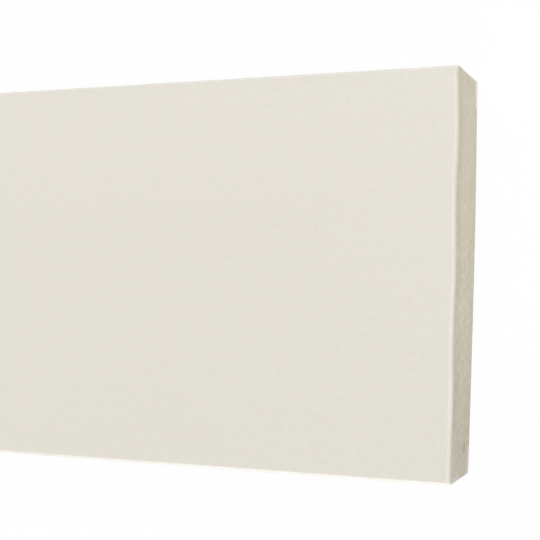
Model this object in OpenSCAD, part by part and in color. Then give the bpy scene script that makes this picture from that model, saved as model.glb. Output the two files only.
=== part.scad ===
// Cellular PVC board: one flat, solid length of foamed PVC sheet stock, nominal 1 x 4.
// It lies on its back face, show face up. X runs along the length, Y across the width
// and Z through the thickness, with the origin at the centre of the back face.
// The four long arrises are eased by a small radius. Both ends are sawn square. The arris
// round each sawn end is broken by a fine chamfer, which is widest at the show face.

/* [Board] */
// Length from sawn end to sawn end
board_length = 2438.4; // [300:0.1:6100]
// Width across the show face
board_width = 88.9; // [38:0.1:400]
// Thickness from the back face to the show face
board_thickness = 19.05; // [9.5:0.05:38.1]

/* [Arrises] */
// Radius that eases the four long arrises
long_arris_radius = 1.0; // [0.3:0.1:3]
// Leg of the 45 degree chamfer that breaks a sawn end's arris at the show face
show_end_break = 0.5; // [0.1:0.05:1]
// Leg of the 45 degree chamfer that breaks that arris at the back face and the long edges
side_end_break = 0.25; // [0.1:0.05:1]

/* [Hidden] */
// Segments of a full circle, for the long arrises
$fn = 64;
// How far an outline is extruded past the faces that the other outlines cut
clear_past = 5;
// Cream of the skin
skin_colour = [0.90, 0.885, 0.84];

// Rectangle with its four corners rounded, centred on the origin
module eased_rectangle(across, high, radius) {
    square([across - 2 * radius, high], center = true);
    square([across, high - 2 * radius], center = true);
    for (side = [-1, 1], level = [-1, 1])
        translate([side * (across / 2 - radius), level * (high / 2 - radius)])
            circle(r = radius);
}

// Rectangle with its upper and its lower corners cut at 45 degrees, centred on the origin
module broken_rectangle(along, across, upper_leg, lower_leg) {
    x = along / 2;
    y = across / 2;
    polygon([
        [x, y - upper_leg], [x - upper_leg, y], [upper_leg - x, y], [-x, y - upper_leg],
        [-x, lower_leg - y], [lower_leg - x, -y], [x - lower_leg, -y], [x, lower_leg - y]
    ]);
}

// The extruded section, which carries the eased long arrises
module section_bar() {
    rotate([90, 0, 90])
        linear_extrude(board_length + 2 * clear_past, center = true)
            eased_rectangle(board_width, board_thickness, long_arris_radius);
}

// The side view, which cuts both ends and breaks their arrises at the two broad faces
module side_view_block() {
    rotate([90, 0, 0])
        linear_extrude(board_width + 2 * clear_past, center = true)
            broken_rectangle(board_length, board_thickness, show_end_break, side_end_break);
}

// The plan view, which breaks the arrises of both ends at the two long edges
module plan_view_block() {
    linear_extrude(board_thickness + 2 * clear_past, center = true)
        broken_rectangle(board_length, board_width, side_end_break, side_end_break);
}

module pvc_board() {
    color(skin_colour)
        translate([0, 0, board_thickness / 2])
            intersection() {
                section_bar();
                side_view_block();
                plan_view_block();
            }
}

pvc_board();
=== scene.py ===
"""Looks of a length of cellular PVC board: its matte skin, its sawn ends, and a plain studio round it.

Everything is in metres, in the part's own frame: the board lies on Z = 0 with its length along X and its
width along Y. The camera looks down on the show face at the board's +X end, the near end. The far end is
finished like the near one.
"""
import math

import bpy
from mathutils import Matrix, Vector, noise


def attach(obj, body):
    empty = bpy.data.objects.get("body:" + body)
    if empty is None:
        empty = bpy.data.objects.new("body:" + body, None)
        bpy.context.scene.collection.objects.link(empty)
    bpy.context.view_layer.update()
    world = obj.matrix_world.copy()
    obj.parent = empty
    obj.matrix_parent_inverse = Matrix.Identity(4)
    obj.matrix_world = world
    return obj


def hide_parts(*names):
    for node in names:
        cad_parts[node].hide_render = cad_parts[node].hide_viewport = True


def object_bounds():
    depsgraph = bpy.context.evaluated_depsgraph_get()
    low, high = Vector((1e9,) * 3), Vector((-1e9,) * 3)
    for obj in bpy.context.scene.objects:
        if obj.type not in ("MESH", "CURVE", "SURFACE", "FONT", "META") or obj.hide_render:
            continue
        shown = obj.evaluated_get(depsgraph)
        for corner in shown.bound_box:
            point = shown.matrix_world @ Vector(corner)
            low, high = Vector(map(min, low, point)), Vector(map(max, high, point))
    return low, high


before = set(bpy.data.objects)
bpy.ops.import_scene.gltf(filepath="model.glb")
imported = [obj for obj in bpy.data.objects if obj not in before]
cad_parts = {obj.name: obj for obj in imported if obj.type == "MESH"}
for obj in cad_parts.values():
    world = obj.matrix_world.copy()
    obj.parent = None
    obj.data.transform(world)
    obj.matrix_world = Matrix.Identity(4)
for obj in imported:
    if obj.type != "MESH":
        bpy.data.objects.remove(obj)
CAD_LOW, CAD_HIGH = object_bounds()

# ---------------------------------------------------------------- sizes, in metres

MM = 0.001
LENGTH, WIDTH, THICKNESS = CAD_HIGH - CAD_LOW
NEAR_END = CAD_HIGH.x
ARRIS_RADIUS = 1.0 * MM     # eases the four long arrises
END_BREAK = 0.8 * MM        # rounds the arris between a sawn end and the show face
BACK_SHARE = 0.3            # the arris at the back face has this share of that radius
# Radii of a sawn end's arris at a long edge, next to the back face and next to the show face. The first
# pair is for the near end's +Y edge and the far end's -Y edge.
EDGE_BREAKS = ((0.95 * MM, 0.15 * MM), (0.60 * MM, 0.80 * MM))

# The board's mesh
ARRIS_STEPS = 4             # steps from a flat to the middle of a long arris
BREAK_STEPS = 4             # steps across the arris of a sawn end
CAP_PITCH = 0.35 * MM       # grid of a sawn end, away from the arrises
COARSE_STRIDE = 11          # the body keeps one in so many of a sawn end's grid lines
BLEND_BACK = 6.0 * MM       # past here the body no longer feels the shape of the cut
BLEND_SHARES = (0.2, 0.45)  # where the rings on the way there lie, as shares of it
STATION_PITCH = 25.0 * MM   # between the body's rings

# The slow wander of the saw cut
CUT_WAVE = 0.24 * MM        # how far it goes to and fro, next to the show face
CUT_WAVE_PERIOD = 28.5 * MM
CUT_WAVE_START = 16.0 * MM  # where across the width the cut of the near end is deepest
CUT_WAVE_SWELL = 0.5        # how much more it wanders at the near end's +Y edge, and less at the other
CUT_BOW = 0.324 * MM        # how far the back of the cut falls short, half a width from its proud place
CUT_BOW_START = 11.0 * MM   # where across the width the back of the near end's cut stands proud
CUT_BOW_POWER = 1.5
RAGGED = 0.03 * MM          # a quicker wander, on average
RAGGED_SIZE = (7.0 * MM, 30.0 * MM)     # of its features along Y and Z

# The blade's arcs
SAW_RADIUS = 130.0 * MM
SAW_LEAN = 14.0             # degrees between an arc and the thickness, at mid thickness
SAW_PITCH = 2.3 * MM        # between the marks
SAW_DEPTH = 0.012 * MM
SAW_STRENGTH = 0.6          # share of that depth that the marks have on average
SAW_CHANGE = 0.8            # how much that share changes from patch to patch
SAW_PATCH_SIZE = (9.0 * MM, 6.0 * MM)   # along Y and Z

# Burst foam cells
PIT_SIZE = (1.3 * MM, 1.3 * MM)         # of the larger ones, along Y and Z
PIT_DEPTH = 0.05 * MM
PIT_LEVEL = 0.15            # a cell opens where the noise rises past this

# Where in the noise each pattern of the near end lies. The far end's lies as far the other side of zero.
RAGGED_LAYER = 5.0
SAW_LAYER = 11.0
PIT_LAYER = 3.0


# ---------------------------------------------------------------- the shape of a saw cut

def saw_arc(z):
    """How far along Y the blade's round edge runs from its place at mid thickness, at height z."""
    lean = math.radians(SAW_LEAN)
    centre_z = THICKNESS / 2 + SAW_RADIUS * math.sin(lean)
    reach = math.sqrt(SAW_RADIUS ** 2 - (z - centre_z) ** 2)
    return SAW_RADIUS * math.cos(lean) - reach


def end_noise(y, z, size, layer):
    """Noise about zero over a sawn end, with features of the given size along Y and Z."""
    return noise.noise(Vector((y / size[0], z / size[1], layer)))


def cut_depth(y, z, end):
    """How far the wander of the cut lies behind the end's plane. end is +1 or -1."""
    height = z / THICKNESS
    turn = 2 * math.pi * (y - end * CUT_WAVE_START) / CUT_WAVE_PERIOD
    swell = 1 + CUT_WAVE_SWELL * end * 2 * y / WIDTH
    wave = CUT_WAVE * height * swell * (0.5 + 0.5 * math.cos(turn))
    off_proud = abs(2 * (y - end * CUT_BOW_START) / WIDTH)
    bow = CUT_BOW * (1 - height) * off_proud ** CUT_BOW_POWER
    ragged = RAGGED * (1 + end_noise(y, z, RAGGED_SIZE, RAGGED_LAYER * end))
    return wave + bow + ragged


def sawn_relief(y, z, end):
    """How deep the saw marks and burst cells go below the cut."""
    strength = SAW_STRENGTH + SAW_CHANGE * end_noise(y, z, SAW_PATCH_SIZE, SAW_LAYER * end)
    mark = 0.5 + 0.5 * math.sin(2 * math.pi * (y - saw_arc(z)) / SAW_PITCH)
    pit = max(0.0, end_noise(y, z, PIT_SIZE, PIT_LAYER * end) - PIT_LEVEL)
    return SAW_DEPTH * max(0.0, strength) * mark + PIT_DEPTH * pit


# ---------------------------------------------------------------- the grid of the section

def section_lines(span):
    """Grid lines across one side of the section. They step by equal angles round each long arris."""
    eighth = math.pi / 4
    arris = [ARRIS_RADIUS * (1 - math.tan(eighth * k / ARRIS_STEPS)) for k in range(ARRIS_STEPS, 0, -1)]
    flat = span - 2 * ARRIS_RADIUS
    # A whole number of coarse strides, so that the body's rings end at an arris too
    cells = COARSE_STRIDE * round(flat / CAP_PITCH / COARSE_STRIDE)
    lines = arris + [ARRIS_RADIUS + flat * k / cells for k in range(cells + 1)]
    return lines + [span - a for a in reversed(arris)]


Y_LINES = section_lines(WIDTH)
Z_LINES = section_lines(THICKNESS)
LAST_Y = len(Y_LINES) - 1
LAST_Z = len(Z_LINES) - 1


def core_and_way_out(i, j):
    """The place nearest grid point i, j that is clear of every long arris, and the way from there to it."""
    y, z = Y_LINES[i], Z_LINES[j]
    core_y = min(max(y, ARRIS_RADIUS), WIDTH - ARRIS_RADIUS)
    core_z = min(max(z, ARRIS_RADIUS), THICKNESS - ARRIS_RADIUS)
    return core_y, core_z, y - core_y, z - core_z


def section_point(i, j, inset):
    """The place of grid point i, j in the section, as (y, z), where the section is inset all round."""
    core_y, core_z, out_y, out_z = core_and_way_out(i, j)
    # A square corner of the grid becomes a quarter of a disc
    reach = math.hypot(out_y, out_z)
    squeeze = max(abs(out_y), abs(out_z)) / reach if reach else 1.0
    squeeze *= (ARRIS_RADIUS - inset) / ARRIS_RADIUS
    return core_y + out_y * squeeze - WIDTH / 2, core_z + out_z * squeeze


# The grid points round the section, from its -Y corner at the back face on towards +Y
RING = ([(i, 0) for i in range(LAST_Y)] + [(LAST_Y, j) for j in range(LAST_Z)]
        + [(i, LAST_Z) for i in range(LAST_Y, 0, -1)] + [(0, j) for j in range(LAST_Z, 0, -1)])


def on_coarse_line(k, last):
    """True if the body's rings keep line k: all those of an arris, and one in COARSE_STRIDE of a flat."""
    flat_step = k - ARRIS_STEPS
    flat_steps = last - 2 * ARRIS_STEPS
    return not 0 < flat_step < flat_steps or flat_step % COARSE_STRIDE == 0


COARSE = [k for k, (i, j) in enumerate(RING) if on_coarse_line(i, LAST_Y) and on_coarse_line(j, LAST_Z)]


def ring_lengths():
    """The way round the section from the ring's first point to each point, and back to the first."""
    points = [Vector(section_point(i, j, 0.0)) for i, j in RING]
    way = [0.0]
    for a, b in zip(points, points[1:] + points[:1]):
        way.append(way[-1] + (b - a).length)
    return way


ROUND = ring_lengths()


# ---------------------------------------------------------------- the layout of the baked maps

# The skin is unrolled into three lengths, one over another, with the two sawn ends side by side over them
SKIN_PARTS = 3
MAP_TEXELS = 1024           # across a map
GAP = 4 / MAP_TEXELS        # kept clear round each island
SKIN_SCALE = (1 - 2 * GAP) / (LENGTH / SKIN_PARTS)
SKIN_ROW = ROUND[-1] * SKIN_SCALE + GAP
END_SCALE = (0.5 - 1.5 * GAP) / WIDTH


def skin_uv(x, way, part):
    """The map place of a point of the skin, from its x and its way round the section."""
    low = CAD_LOW.x + LENGTH * part / SKIN_PARTS
    u = GAP + (x - low) * SKIN_SCALE
    v = GAP + part * SKIN_ROW + (ROUND[-1] - way) * SKIN_SCALE
    return u, v


def end_uv(y, z, end):
    """The map place of a point of a sawn end."""
    left = GAP if end > 0 else 0.5 + GAP / 2
    u = left + (end * y + WIDTH / 2) * END_SCALE
    v = 2 * GAP + SKIN_PARTS * SKIN_ROW + z * END_SCALE
    return u, v


# ---------------------------------------------------------------- the board's mesh

class BoardMesh:
    """Collects the board's points and faces. Each face keeps its own map corners and its material.

    Each point also keeps how far it lies behind the saw cut, for the tones next to the cut.
    """

    def __init__(self):
        self.points = []
        self.behind = []
        self.faces = []
        self.corners = []
        self.sawn = []

    def add_point(self, x, y, z, behind=None):
        self.points.append((x, y, z))
        self.behind.append(NEAR_END - abs(x) if behind is None else behind)
        return len(self.points) - 1

    def add_face(self, face, corners, sawn):
        self.faces.append(face)
        self.corners.append(corners)
        self.sawn.append(sawn)

    def add_skin_face(self, face, ways, part):
        """A face of the skin. ways holds its points' ways round the section."""
        corners = []
        for p, way in zip(face, ways):
            # By the distance from the cut, which the cut's own shape can't fold over
            along = math.copysign(NEAR_END - self.behind[p], self.points[p][0])
            corners.append(skin_uv(along, way, part))
        self.add_face(face, corners, False)

    def add_band(self, ring_a, ring_b, way, part):
        """Quads between two rings of as many points, where ring_a is the one nearer -X."""
        for k in range(len(ring_a)):
            n = (k + 1) % len(ring_a)
            face = (ring_a[k], ring_a[n], ring_b[n], ring_b[k])
            ways = (way[k], way[k + 1], way[k + 1], way[k])
            self.add_skin_face(face, ways, part)


def break_radius(i, j, end):
    """The radius of a sawn end's arris at grid point i, j."""
    height = Z_LINES[j] / THICKNESS
    at_face = END_BREAK * (BACK_SHARE + (1 - BACK_SHARE) * height)
    back, show = EDGE_BREAKS[0 if (i > LAST_Y / 2) == (end > 0) else 1]
    at_edge = back + (show - back) * height
    # One turns into the other round the corner between a face and an edge
    _, _, out_y, out_z = core_and_way_out(i, j)
    out = math.hypot(out_y, out_z)
    share = (out_y / out) ** 2 if out else 0.0
    return at_face + (at_edge - at_face) * share


def add_cap(mesh, end):
    """The sawn face of one end. Returns its outline as a ring."""
    grid = {}
    for i in range(LAST_Y + 1):
        for j in range(LAST_Z + 1):
            y, z = section_point(i, j, break_radius(i, j, end))
            depth = cut_depth(y, z, end) + sawn_relief(y, z, end)
            grid[i, j] = mesh.add_point(end * (NEAR_END - depth), y, z, 0.0)
    for i in range(LAST_Y):
        for j in range(LAST_Z):
            keys = [(i, j), (i + 1, j), (i + 1, j + 1), (i, j + 1)]
            if end < 0:
                keys.reverse()
            corners = []
            for key in keys:
                corners.append(end_uv(*mesh.points[grid[key]][1:], end))
            mesh.add_face(tuple(grid[key] for key in keys), corners, True)
    return [grid[key] for key in RING]


def add_break_ring(mesh, end, angle):
    """A ring on the arris of a sawn end. angle is 0 at the cut and a right angle at the skin."""
    ring = []
    for i, j in RING:
        radius = break_radius(i, j, end)
        y, z = section_point(i, j, radius * (1 - math.sin(angle)))
        depth = radius * (1 - math.cos(angle)) + cut_depth(y, z, end)
        behind = END_BREAK * (1 - math.cos(angle))
        ring.append(mesh.add_point(end * (NEAR_END - depth), y, z, behind))
    return ring


def add_dense_ring(mesh, end, back, feel):
    """A ring with every grid point, back from the cut. feel says how much of the cut's shape it follows."""
    ring = []
    for i, j in RING:
        y, z = section_point(i, j, 0.0)
        depth = back + feel * cut_depth(y, z, end)
        ring.append(mesh.add_point(end * (NEAR_END - depth), y, z, back))
    return ring


def add_coarse_ring(mesh, x):
    """A ring of the body, with the coarse points only."""
    return [mesh.add_point(x, *section_point(*RING[k], 0.0)) for k in COARSE]


def add_reduction(mesh, dense, coarse, end, part):
    """Joins a ring with every grid point to one with the coarse points, by triangles."""
    for n, start in enumerate(COARSE):
        following = (n + 1) % len(COARSE)
        stop = COARSE[following] or len(RING)
        middle = (start + stop) // 2
        # Each triangle as pairs of a point and its way round the section
        here, there = (coarse[n], ROUND[start]), (coarse[following], ROUND[stop])
        fan = [(dense[k % len(RING)], ROUND[k]) for k in range(start, stop + 1)]
        triangles = [(here, there, fan[middle - start])]
        for k in range(stop - start):
            apex = here if start + k < middle else there
            triangles.append((apex, fan[k + 1], fan[k]))
        for triangle in triangles:
            if end < 0:
                triangle = triangle[::-1]
            mesh.add_skin_face(*zip(*triangle), part)


def add_end(mesh, end):
    """One sawn end with its arris, down to the body's first coarse ring, which it returns."""
    part = SKIN_PARTS - 1 if end > 0 else 0
    rings = [add_cap(mesh, end)]
    for step in range(1, BREAK_STEPS + 1):
        rings.append(add_break_ring(mesh, end, math.pi / 2 * step / BREAK_STEPS))
    for share in BLEND_SHARES:
        rings.append(add_dense_ring(mesh, end, share * BLEND_BACK, 1 - share))
    for outer, inner in zip(rings, rings[1:]):
        near_to_far = (inner, outer) if end > 0 else (outer, inner)
        mesh.add_band(*near_to_far, ROUND, part)
    coarse = add_coarse_ring(mesh, end * (NEAR_END - BLEND_BACK))
    add_reduction(mesh, rings[-1], coarse, end, part)
    return coarse


def add_body(mesh, far_ring, near_ring):
    """The long body between the two ends' coarse rings, in as many parts as the map has."""
    way = [ROUND[k] for k in COARSE] + [ROUND[-1]]
    ring = far_ring
    for part in range(SKIN_PARTS):
        last_part = part + 1 == SKIN_PARTS
        start = mesh.points[ring[0]][0]
        stop = NEAR_END - BLEND_BACK if last_part else CAD_LOW.x + LENGTH * (part + 1) / SKIN_PARTS
        steps = round((stop - start) / STATION_PITCH)
        for step in range(1, steps + 1):
            if last_part and step == steps:
                following = near_ring
            else:
                following = add_coarse_ring(mesh, start + (stop - start) * step / steps)
            mesh.add_band(ring, following, way, part)
            ring = following


def make_board():
    """The board as one closed mesh, with its map layout and its points' distance behind the cut."""
    mesh = BoardMesh()
    near_ring = add_end(mesh, 1)
    far_ring = add_end(mesh, -1)
    add_body(mesh, far_ring, near_ring)

    data = bpy.data.meshes.new("pvc_board_visual")
    data.from_pydata(mesh.points, [], mesh.faces)
    layout = data.uv_layers.new(name="OFBake")
    flat_corners = [value for corners in mesh.corners for corner in corners for value in corner]
    layout.uv.foreach_set("vector", flat_corners)
    data.polygons.foreach_set("material_index", [int(sawn) for sawn in mesh.sawn])
    behind = data.attributes.new("behind_cut", "FLOAT", "POINT")
    behind.data.foreach_set("value", mesh.behind)
    data.shade_smooth()
    board = bpy.data.objects.new("board", data)
    bpy.context.collection.objects.link(board)
    return board


# ---------------------------------------------------------------- node trees

class Nodes:
    """Short calls for building the node tree of a material or a world."""

    def __init__(self, owner):
        self.owner = owner
        owner.use_nodes = True
        self.tree = owner.node_tree
        self.tree.nodes.clear()

    def add(self, kind, inputs=None, **settings):
        """A node with its settings, and with each input set to a value or linked from a socket."""
        node = self.tree.nodes.new("ShaderNode" + kind)
        for key, value in settings.items():
            setattr(node, key, value)
        for key, value in (inputs or {}).items():
            if isinstance(value, bpy.types.NodeSocket):
                self.tree.links.new(value, node.inputs[key])
            else:
                node.inputs[key].default_value = value
        return node

    def math(self, operation, a, b=0.0):
        return self.add("Math", {0: a, 1: b}, operation=operation).outputs[0]

    def total(self, *terms):
        result = terms[0]
        for term in terms[1:]:
            result = self.math("ADD", result, term)
        return result

    def times(self, *factors):
        result = factors[0]
        for factor in factors[1:]:
            result = self.math("MULTIPLY", result, factor)
        return result

    def smooth_step(self, value, low, high):
        """0 at low, 1 at high, and a soft rise between. high may be less than low."""
        inputs = {"Value": value, "From Min": low, "From Max": high}
        return self.add("MapRange", inputs, interpolation_type="SMOOTHSTEP").outputs["Result"]

    def pattern(self, vector, size, weight, detail):
        """Noise about zero, times a weight, with features of about the given size in metres."""
        inputs = {"Vector": vector, "Scale": 1 / size, "Detail": detail}
        fac = self.add("TexNoise", inputs, noise_dimensions="3D").outputs["Fac"]
        return self.times(self.math("SUBTRACT", fac, 0.5), weight)

    def parts(self, vector):
        """The x, y and z of a place."""
        return self.add("SeparateXYZ", {"Vector": vector}).outputs[:]

    def mix(self, factor, a, b):
        """Colour a where the factor is 0 or less, and b where it is 1 or more."""
        # A Mix node of colours has them at 6 and 7 among its inputs, and its result at 2 of its outputs
        return self.add("Mix", {0: factor, 6: a, 7: b}, data_type="RGBA").outputs[2]

    def surface(self, colour, roughness, ior, relief, height):
        """A surface with a fine relief, where height is in metres for a relief of 1."""
        bump = self.add("Bump", {"Strength": 1.0, "Distance": height, "Height": relief}).outputs["Normal"]
        inputs = {"Base Color": colour, "Roughness": roughness, "IOR": ior, "Normal": bump}
        return self.add("BsdfPrincipled", inputs)

    def finish(self, shader, output="OutputMaterial"):
        """Ends the tree with a shader, and returns the material or world that it makes."""
        self.add(output, {"Surface": shader.outputs[0]})
        return self.owner


# ---------------------------------------------------------------- places on the board

def towards_ends(n, x, start, full):
    """0 along the board, rising from start to full, which are distances from either end."""
    return n.smooth_step(n.math("ABSOLUTE", x), NEAR_END - start, NEAR_END - full)


def towards_low_edge(n, y, start, full):
    """0 across the board, rising from start to full, which are distances from the -Y edge."""
    return n.smooth_step(y, -WIDTH / 2 + start, -WIDTH / 2 + full)


def from_long_edge(n, y):
    """How far a place is from the nearer long edge."""
    return n.math("SUBTRACT", WIDTH / 2, n.math("ABSOLUTE", y))


# ---------------------------------------------------------------- the skin

SKIN_DARK = (0.745, 0.710, 0.626, 1.0)
SKIN_LIGHT = (0.829, 0.796, 0.710, 1.0)
# Near white: a little wear and mostly a painted highlight, on the long arrises and beside the cut
SKIN_WEAR_AND_HIGHLIGHT = (0.970, 0.951, 0.906, 1.0)
TORN_COLOUR = (0.537, 0.496, 0.391, 1.0)
SKIN_ROUGHNESS = 0.50
SKIN_IOR = 1.5

# Patterns, each with the size of its features, its weight and its detail
DRIFT = (110 * MM, 0.35, 2.0)
LINES = (2.2 * MM, 0.12, 2.0)
MOTTLE = (1.2 * MM, 0.55, 1.0)
SPECKS = (0.65 * MM, 0.22, 0.0)
SHEEN = (1.0 * MM, 0.22, 2.0)
PEBBLE = (1.0 * MM, 1.0, 1.0)
PEBBLE_LINES = (1.4 * MM, 0.3, 1.0)
PEBBLE_HEIGHT = 0.035 * MM
DRAWN_OUT = (0.03, 1.0, 1.0)            # makes a pattern's features about 33 times as long along X

SKIN_TONE = 0.5                         # of the plain skin, from SKIN_DARK at 0 to SKIN_LIGHT at 1
GRAIN_REACH = (130 * MM, 20 * MM)       # the grain strengthens between these distances from an end
GRAIN_ALONG = 0.5                       # its strength along the rest of the board

# The paler skin: a little wear, and a painted highlight on the long arrises, strongest on the -Y side and
# towards the ends, and in a line beside the cut
ARRIS_WEAR_AND_HIGHLIGHT = (0.12 * ARRIS_RADIUS, 0.38 * ARRIS_RADIUS)  # it starts and is full this far out of the flats
HIGHLIGHT_SIDES = (1.4 * WIDTH, -0.5 * WIDTH)                 # y where it would end, and y where it is full: a painted highlight, strongest on the -Y side
WEAR_AND_HIGHLIGHT_PATCHES = (4.0 * MM, 0.8, 2.0)
WEAR_AND_HIGHLIGHT_STRENGTH = 0.58
END_HIGHLIGHT_REACH = (90 * MM, 45 * MM)      # the painted highlight on the -Y arrises strengthens between these distances from an end
END_HIGHLIGHT = 0.21                          # by this much
HIGHLIGHT_LINE = 0.8 * MM                  # from the cut back to the middle of the faint pale line beside it, a painted highlight
LINE_WIDTHS = (0.5 * HIGHLIGHT_LINE, 0.1 * HIGHLIGHT_LINE)    # half its width, and half its brightest width
LINE_SIDES = (0.15 * WIDTH, -0.55 * WIDTH)              # y where it ends, and y where it would be full
LINE_STRENGTH = 0.45

# The torn skin
TORN_REACH = 0.495 * MM                 # how far back the cut has bared darker foam, on average
TORN_SLANT = 0.275 * MM                 # how much further that goes at the +Y edge than at the -Y edge
TORN_PATCHES = (5.0 * MM, 0.275 * MM, 2.0)
TORN_STRENGTH = 0.85


def skin_colour(n, place, drawn_out):
    """Cream with a slow drift, faint lines along the extrusion, and a grain strongest at the ends."""
    x, _, _ = n.parts(place)
    grain = n.total(n.pattern(place, *MOTTLE), n.pattern(place, *SPECKS))
    by_end = towards_ends(n, x, *GRAIN_REACH)
    grain = n.times(grain, n.total(n.times(by_end, 1 - GRAIN_ALONG), GRAIN_ALONG))
    tone = n.total(n.pattern(place, *DRIFT), n.pattern(drawn_out, *LINES), grain, SKIN_TONE)
    return n.mix(tone, SKIN_DARK, SKIN_LIGHT)


def long_arrises(n, place):
    """0 all over the flats, 1 on the -Y side's long arrises, and about half on the +Y side's: their painted
    highlight is stronger on the -Y side.
    """
    _, y, z = n.parts(place)
    # Only on an arris are both of these above zero
    out_y = n.math("SUBTRACT", n.math("ABSOLUTE", y), WIDTH / 2 - ARRIS_RADIUS)
    out_z = n.math("ABSOLUTE", n.math("SUBTRACT", z, THICKNESS / 2))
    out_z = n.math("SUBTRACT", out_z, THICKNESS / 2 - ARRIS_RADIUS)
    out = n.smooth_step(n.math("MINIMUM", out_y, out_z), *ARRIS_WEAR_AND_HIGHLIGHT)
    return n.times(out, n.smooth_step(y, *HIGHLIGHT_SIDES))


def wear_and_highlight(n, place, behind, arrises):
    """How pale the skin is painted on the long arrises and in a faint line beside the cut: a little wear,
    mostly painted highlight.
    """
    x, y, _ = n.parts(place)
    by_side = n.smooth_step(y, *LINE_SIDES)
    off_line = n.math("ABSOLUTE", n.math("SUBTRACT", behind, HIGHLIGHT_LINE))
    line = n.times(n.smooth_step(off_line, *LINE_WIDTHS), n.times(by_side, LINE_STRENGTH))
    # A painted highlight on the -Y side's arrises, stronger towards the ends
    highlight_at_ends = n.times(towards_ends(n, x, *END_HIGHLIGHT_REACH), by_side, arrises)
    strength = n.total(n.pattern(place, *WEAR_AND_HIGHLIGHT_PATCHES), n.times(highlight_at_ends, END_HIGHLIGHT), WEAR_AND_HIGHLIGHT_STRENGTH)
    return n.times(n.math("MAXIMUM", line, arrises), strength)


def torn_skin(n, place, behind, arrises):
    """How much of the darker foam shows next to the cut. It gives way to the paler long arrises with their
    painted highlight.
    """
    _, y, _ = n.parts(place)
    edge = n.total(n.pattern(place, *TORN_PATCHES), n.times(y, TORN_SLANT / WIDTH), TORN_REACH)
    torn = n.math("DIVIDE", n.math("SUBTRACT", edge, behind), edge)
    torn = n.times(n.math("MAXIMUM", torn, 0.0), TORN_STRENGTH)
    return n.times(torn, n.math("SUBTRACT", 1.0, arrises))


def skin_material():
    """Matte cream skin with a fine pebble, torn next to the cut, and paler on its arrises and beside the
    cut with a little wear and mostly painted highlight.
    """
    n = Nodes(bpy.data.materials.new("foamed_pvc_skin"))
    place = n.add("TexCoord").outputs["Object"]
    drawn_out = n.add("Mapping", {"Vector": place, "Scale": DRAWN_OUT}).outputs["Vector"]
    behind = n.add("Attribute", attribute_name="behind_cut").outputs["Fac"]
    arrises = long_arrises(n, place)

    colour = skin_colour(n, place, drawn_out)
    # Painted highlight, with a little wear, on the long arrises and in a line beside the cut
    colour = n.mix(wear_and_highlight(n, place, behind, arrises), colour, SKIN_WEAR_AND_HIGHLIGHT)
    colour = n.mix(torn_skin(n, place, behind, arrises), colour, TORN_COLOUR)

    roughness = n.total(n.pattern(place, *SHEEN), SKIN_ROUGHNESS)
    pebble = n.total(n.pattern(place, *PEBBLE), n.pattern(drawn_out, *PEBBLE_LINES))
    return n.finish(n.surface(colour, roughness, SKIN_IOR, pebble, PEBBLE_HEIGHT))


# ---------------------------------------------------------------- the sawn ends

SAWN_DARK = (0.451, 0.412, 0.305, 1.0)
SAWN_LIGHT = (0.622, 0.580, 0.477, 1.0)
SAWN_TONE = 0.60                        # of plain foam, from SAWN_DARK at 0 to SAWN_LIGHT at 1
SAWN_ROUGHNESS = 0.85
SAWN_IOR = 1.45
SAWN_HEIGHT = 0.06 * MM                 # of the fine relief

# Patterns, each with the size of its features, its weight and its detail
SAWN_MOTTLE = (1.9 * MM, 0.85, 2.0)
SAWN_DRIFT = (14 * MM, 0.15, 1.0)
SAWN_GRAIN = (0.5 * MM, 0.8, 2.0)

CELL_SIZE = 0.8 * MM
CELL_MIDDLE = 0.45                      # taken off the cells' pattern, so that it lies about zero
CELL_TONE = 0.35

MARK_WOBBLE = (6.0 * MM, 1.5 * MM, 2.0)
MARK_PATCHES = (5.0 * MM, 1.0, 2.0)
MARK_LEVELS = (-0.1, 0.2)               # of those patches, from no marks to full marks
MARK_TONE = 0.10
MARK_HEIGHT = 0.5
FINE_PITCH = 0.37 * SAW_PITCH
FINE_STRENGTH = 0.6

ROUGH_HIGH_SIDE = 0.7                   # strength of the texture at the +Y edge
ROUGH_LOW_SIDE = 1.45                   # and at the -Y edge

DENSE_RIND = 7.5 * MM                   # the closed, slightly darker foam under the skin
RIND_CORE = 0.3 * DENSE_RIND            # nearer to the skin than this, it is at its densest
RIND_PATCHES = (10.5 * MM, 1.4, 0.0)
RIND_TONE = -0.25
OTHER_RIND = 0.3                        # how strong it is under the back and the edges
PALE_RIND_REACH = (21 * MM, 2 * MM)     # it turns paler than the rest between these from the -Y edge
PALE_RIND_TONE = 0.20
EDGE_FOAM_REACH = (8 * MM, 3 * MM)      # all the foam turns paler between these from the -Y edge
EDGE_FOAM_TONE = 0.15

# A dark nick in the near end, near its back corner on the -Y side: its centre and its half sizes
NICK_CENTRE = Vector((NEAR_END, -37.7 * MM, 6.0 * MM))
NICK_REACH = Vector((2.0 * MM, 1.0 * MM, 1.8 * MM))
NICK_LEVELS = (1.4, 0.4)                # shares of the half sizes, from no nick to full nick
NICK_TONE = -0.8

# Painted highlights on a sawn end: pale patches at the back corners, and a pale rim at the show face's
# corner on the -Y side
CORNER_HIGHLIGHT_HEIGHTS = (3.4 * MM, 0.85 * MM)   # from the back face, where they end and where they are full
CORNER_HIGHLIGHT_REACH = (7.3 * MM, 5.84 * MM)     # the same from a long edge
CORNER_HIGHLIGHT_PATCHES = (2.0 * MM, 1.0, 2.0)
CORNER_HIGHLIGHT_STRENGTH = 0.6
RIM_HIGHLIGHT_REACH = (2.0 * MM, 1.0 * MM)        # from the -Y edge, where it ends and where it is full
RIM_HIGHLIGHT_HEIGHTS = (0.45 * THICKNESS, 0.65 * THICKNESS)
RIM_HIGHLIGHT_STRENGTH = 0.4


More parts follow.
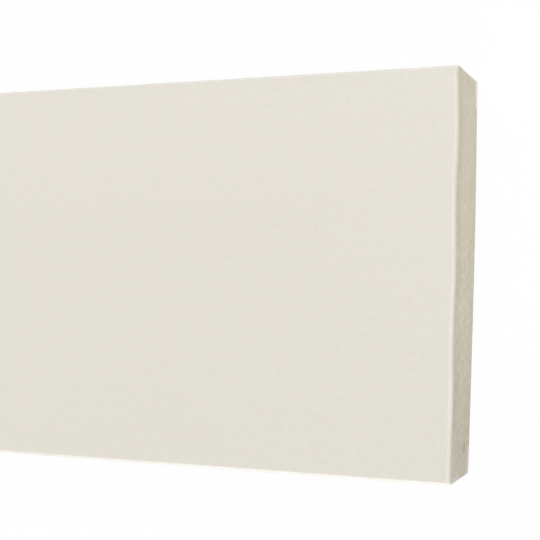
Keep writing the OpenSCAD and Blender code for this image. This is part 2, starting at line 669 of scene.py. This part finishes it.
def saw_marks(n, place):
    """Arcs of the blade, about zero, with finer ones between, in some patches of the cut."""
    _, y, z = n.parts(place)
    lean = math.radians(SAW_LEAN)
    rise = n.math("SUBTRACT", z, THICKNESS / 2 + SAW_RADIUS * math.sin(lean))
    reach = n.math("SQRT", n.math("SUBTRACT", SAW_RADIUS ** 2, n.times(rise, rise)))
    run = n.total(y, reach, n.pattern(place, *MARK_WOBBLE))
    marks = n.math("SINE", n.times(run, 2 * math.pi / SAW_PITCH))
    fine_marks = n.math("SINE", n.times(run, 2 * math.pi / FINE_PITCH))
    patches = n.smooth_step(n.pattern(place, *MARK_PATCHES), *MARK_LEVELS)
    return n.times(n.total(marks, n.times(fine_marks, FINE_STRENGTH)), patches)


def rinds(n, place):
    """How far a place is in the darker rind under the skin, and how far in the rind's paler stretch."""
    _, y, z = n.parts(place)
    show = n.smooth_step(z, THICKNESS - DENSE_RIND, THICKNESS - RIND_CORE)
    show = n.times(show, n.total(n.pattern(place, *RIND_PATCHES), 1.0))
    pale = n.times(show, towards_low_edge(n, y, *PALE_RIND_REACH))
    other = n.smooth_step(n.math("MINIMUM", from_long_edge(n, y), z), DENSE_RIND, RIND_CORE)
    dark = n.math("MAXIMUM", n.math("SUBTRACT", show, pale), n.times(other, OTHER_RIND))
    return dark, pale


def nick(n, place):
    """How far a place is in the dark nick."""
    scale = Vector(1 / reach for reach in NICK_REACH)
    inputs = {"Vector": place, "Location": -NICK_CENTRE * scale, "Scale": scale}
    out = n.add("Mapping", inputs).outputs["Vector"]
    out = n.add("VectorMath", {0: out}, operation="LENGTH").outputs["Value"]
    return n.smooth_step(out, *NICK_LEVELS)


def sawn_end_highlights(n, place):
    """How pale the painted highlights at the back corners and on the rim are."""
    _, y, z = n.parts(place)
    low = n.smooth_step(z, *CORNER_HIGHLIGHT_HEIGHTS)
    out = n.smooth_step(from_long_edge(n, y), *CORNER_HIGHLIGHT_REACH)
    corners = n.times(low, out, n.total(n.pattern(place, *CORNER_HIGHLIGHT_PATCHES), CORNER_HIGHLIGHT_STRENGTH))
    rim = n.times(towards_low_edge(n, y, *RIM_HIGHLIGHT_REACH), n.smooth_step(z, *RIM_HIGHLIGHT_HEIGHTS))
    return n.math("MAXIMUM", corners, n.times(rim, RIM_HIGHLIGHT_STRENGTH))


def sawn_material():
    """Sawn foam with burst cells, arcs of the blade, a rind under the skin, painted highlights at its back
    corners and rim, and a dark nick.
    """
    n = Nodes(bpy.data.materials.new("foamed_pvc_sawn"))
    place = n.add("TexCoord").outputs["Object"]
    _, y, _ = n.parts(place)
    cells = n.add("TexVoronoi", {"Vector": place, "Scale": 1 / CELL_SIZE}).outputs["Distance"]
    cells = n.math("SUBTRACT", cells, CELL_MIDDLE)
    marks = saw_marks(n, place)
    low_side = n.smooth_step(y, WIDTH / 2, -WIDTH / 2)
    rough = n.total(n.times(low_side, ROUGH_LOW_SIDE - ROUGH_HIGH_SIDE), ROUGH_HIGH_SIDE)

    texture = n.total(n.pattern(place, *SAWN_MOTTLE), n.times(cells, CELL_TONE), n.times(marks, MARK_TONE))
    dark_rind, pale_rind = rinds(n, place)
    edge_foam = towards_low_edge(n, y, *EDGE_FOAM_REACH)
    tone = n.total(
        n.times(texture, rough),
        n.pattern(place, *SAWN_DRIFT),
        n.times(dark_rind, RIND_TONE),
        n.times(pale_rind, PALE_RIND_TONE),
        n.times(edge_foam, EDGE_FOAM_TONE),
        n.times(nick(n, place), NICK_TONE),
        SAWN_TONE)
    colour = n.mix(tone, SAWN_DARK, SAWN_LIGHT)
    # Painted highlights at the back corners and on the rim, in the skin's light colour
    colour = n.mix(sawn_end_highlights(n, place), colour, SKIN_LIGHT)

    relief = n.total(cells, n.pattern(place, *SAWN_GRAIN), n.times(marks, MARK_HEIGHT))
    return n.finish(n.surface(colour, SAWN_ROUGHNESS, SAWN_IOR, n.times(relief, rough), SAWN_HEIGHT))


# ---------------------------------------------------------------- studio

WHITE = (1.0, 1.0, 1.0, 1.0)
FLOOR_REACH = 25.0
FLOOR_DROP = 0.05 * MM      # keeps the floor clear of the board's back face
FLOOR_COLOUR = (0.95, 0.95, 0.95, 1.0)
FLOOR_WHITE = 0.95          # how much of the floor's look is plain white, against its own shading
WORLD_LEVEL = 0.348
SUN_DISTANCE = 3.0          # any will do, since a sun shines alike from all of them
SNOOT_RADIUS = 20.0 * MM

LENS = 77.93                # focal length in mm
LENS_SHIFT = 0.15
SIGHT = (0.01, 100.0)       # the camera sees nothing nearer or farther
CAMERA_PLACE = (NEAR_END + 55.7 * MM, -3.1 * MM, CAD_HIGH.z + 243.4 * MM)
CAMERA_TURN = (-2.709, 21.879, 0.744)   # degrees about X, Y and Z


def seen_directly(n, share):
    """share for rays from the camera, straight or by way of gloss or glass, and 0 for light on things."""
    path = n.add("LightPath").outputs
    seen = n.math("MAXIMUM", path["Is Camera Ray"], path["Is Glossy Ray"])
    seen = n.math("MAXIMUM", seen, path["Is Transmission Ray"])
    return n.times(seen, share)


def floor_material():
    n = Nodes(bpy.data.materials.new("studio_floor"))
    matte = n.add("BsdfDiffuse", {"Color": FLOOR_COLOUR}).outputs[0]
    white = n.add("Emission", {"Color": WHITE, "Strength": 1.0}).outputs[0]
    return n.finish(n.add("MixShader", {0: seen_directly(n, FLOOR_WHITE), 1: matte, 2: white}))


def make_floor():
    data = bpy.data.meshes.new("floor")
    reach = FLOOR_REACH
    corners = [(-reach, -reach, -FLOOR_DROP), (reach, -reach, -FLOOR_DROP),
               (reach, reach, -FLOOR_DROP), (-reach, reach, -FLOOR_DROP)]
    data.from_pydata(corners, [], [(0, 1, 2, 3)])
    data.materials.append(floor_material())
    floor = bpy.data.objects.new("floor", data)
    bpy.context.collection.objects.link(floor)


def make_world():
    """White to look at, and a lower, even light on the object."""
    n = Nodes(bpy.data.worlds.new("studio"))
    # What is seen adds to the light level to make 1, which is white
    strength = n.total(seen_directly(n, 1 - WORLD_LEVEL), WORLD_LEVEL)
    light = n.add("Background", {"Color": WHITE, "Strength": strength})
    bpy.context.scene.world = n.finish(light, "OutputWorld")


def aim(thing, target):
    thing.rotation_euler = (Vector(target) - thing.location).to_track_quat("-Z", "Y").to_euler()


def add_lamp(data, place, target):
    lamp = bpy.data.objects.new(data.name, data)
    lamp.location = place
    aim(lamp, target)
    bpy.context.collection.objects.link(lamp)
    return lamp


def add_sun(name, towards, level, spread):
    """Even light from one direction. At level 1 a surface that faces it shows its colour as written."""
    data = bpy.data.lights.new(name, "SUN")
    data.energy = level * math.pi
    data.angle = math.radians(spread)
    add_lamp(data, Vector(towards).normalized() * SUN_DISTANCE, (0, 0, 0))


def add_strip(name, place, target, length, breadth, watts):
    """A long softbox, with its length along X."""
    data = bpy.data.lights.new(name, "AREA")
    data.shape = "RECTANGLE"
    data.size = length
    data.size_y = breadth
    data.energy = watts
    add_lamp(data, place, target).visible_camera = False


def add_snoot(name, place, target, beam, level):
    """A narrow, soft-edged beam. Its level is meant as for a sun, at the target."""
    data = bpy.data.lights.new(name, "SPOT")
    data.energy = level * (2 * math.pi) ** 2 * (Vector(place) - Vector(target)).length_squared
    data.spot_size = math.radians(beam)
    data.spot_blend = 1.0
    data.shadow_soft_size = SNOOT_RADIUS
    add_lamp(data, place, target).visible_camera = False


def make_lights():
    add_sun("key", towards=(0.30, 0.30, 1.0), level=0.308, spread=50)
    add_sun("rim", towards=(0.0, -1.0, 0.36), level=0.50, spread=30)
    add_strip("strip", place=(0, 0.45, 0.45), target=(0, 0, 0),
              length=LENGTH * 1.4, breadth=0.15, watts=3.5)
    add_snoot("end light", place=(NEAR_END + 0.43, 0.190, 0.030), target=(NEAR_END, 0.018, 0.012),
              beam=16.0, level=0.272)


def make_camera():
    """Looks down on the show face at the near end, swung a little past the end so that the cut shows."""
    data = bpy.data.cameras.new("camera")
    data.lens = LENS
    data.shift_y = LENS_SHIFT
    data.clip_start, data.clip_end = SIGHT
    camera = bpy.data.objects.new("camera", data)
    camera.location = CAMERA_PLACE
    camera.rotation_euler = [math.radians(a) for a in CAMERA_TURN]
    bpy.context.collection.objects.link(camera)
    bpy.context.scene.camera = camera


# ---------------------------------------------------------------- the scene

def main():
    bpy.context.scene.view_settings.view_transform = "Standard"
    make_camera()
    make_world()
    make_floor()
    make_lights()
    board = make_board()
    board.data.materials.append(skin_material())
    board.data.materials.append(sawn_material())
    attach(board, "root")
    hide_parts("pvc_board")


main()
